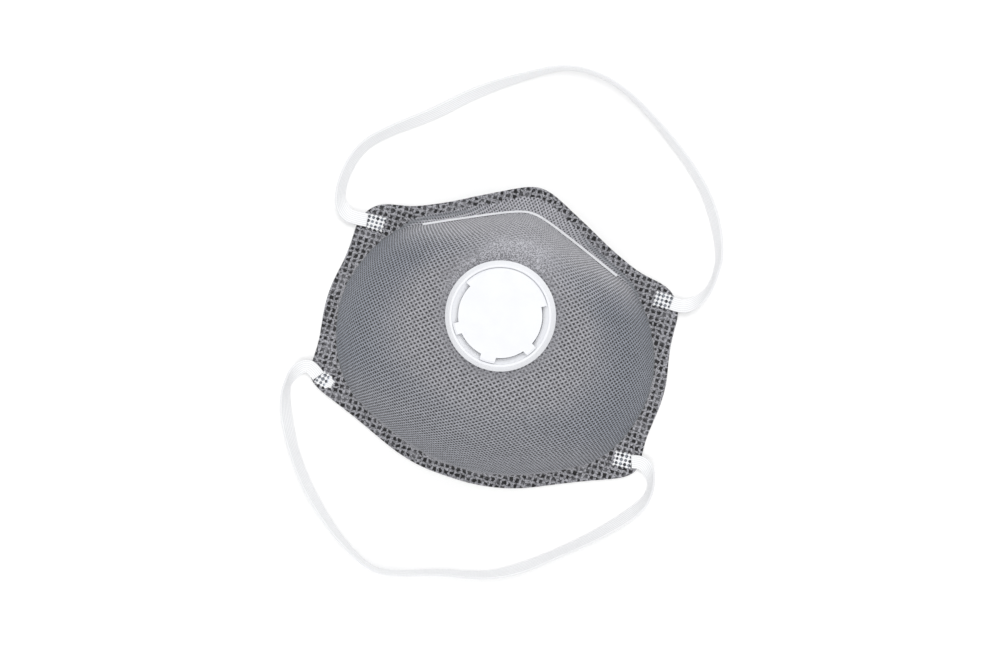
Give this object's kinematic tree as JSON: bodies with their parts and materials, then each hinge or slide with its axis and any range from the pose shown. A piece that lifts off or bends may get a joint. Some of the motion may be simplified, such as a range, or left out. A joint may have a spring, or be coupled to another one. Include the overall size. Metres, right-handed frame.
{
  "type": "disposable dust mask",
  "caption": "Moulded cup-shaped particulate mask with a round exhalation valve, a nose clip, a welded flange and two flat elastic headbands.",
  "frame": {"origin": "middle of the flange's underside, on the surface that the mask lies on", "axes": "+Z out of the cup through the valve, +Y towards the nose, +X sideways"},
  "size_m": [0.1431, 0.2005, 0.049],
  "materials": {
    "cover_web": "grey point-bonded nonwoven with dark bond dots",
    "carbon_web": "black activated-carbon nonwoven",
    "filter_web": "white melt-blown filter web",
    "support_shell": "stiff thermally moulded needle felt",
    "inner_liner": "soft white spunbond web",
    "clip_plastic": "light grey extruded polyethylene",
    "clip_wire": "soft galvanised wire",
    "foam": "soft open-cell polyurethane foam",
    "valve_plastic": "white injection-moulded polypropylene, satin",
    "diaphragm": "thin translucent silicone rubber",
    "elastic": "white ribbed elastic tape, melted and stamped where it is welded"
  },
  "bodies": {
    "mask": {"outer_cover_web": "cover_web", "carbon_web": "carbon_web", "filter_web_outer": "filter_web", "filter_web_inner": "filter_web", "support_shell": "support_shell", "inner_liner": "inner_liner", "nose_clip_strip": "clip_plastic", "nose_clip_wires": "clip_wire", "nose_foam": "foam", "valve_body": "valve_plastic", "valve_clamp_ring": "valve_plastic", "valve_cap": "valve_plastic", "diaphragm_root": "diaphragm", "strap_weld_upper_left": "elastic", "strap_weld_upper_right": "elastic", "strap_weld_lower_left": "elastic", "strap_weld_lower_right": "elastic", "upper_headband": "elastic", "lower_headband": "elastic"},
    "valve_flap": {"diaphragm_flap": "diaphragm"}
  },
  "joints": [
    {"name": "flap_hinge", "type": "hinge", "parent": "mask", "child": "valve_flap", "pos_m": [0, 0.016, 0.04525], "axis": [-1, 0, 0], "range_deg": [0, 6], "stiffness_Nm_per_rad": 0.0007, "springref_deg": -2.01}
  ]
}
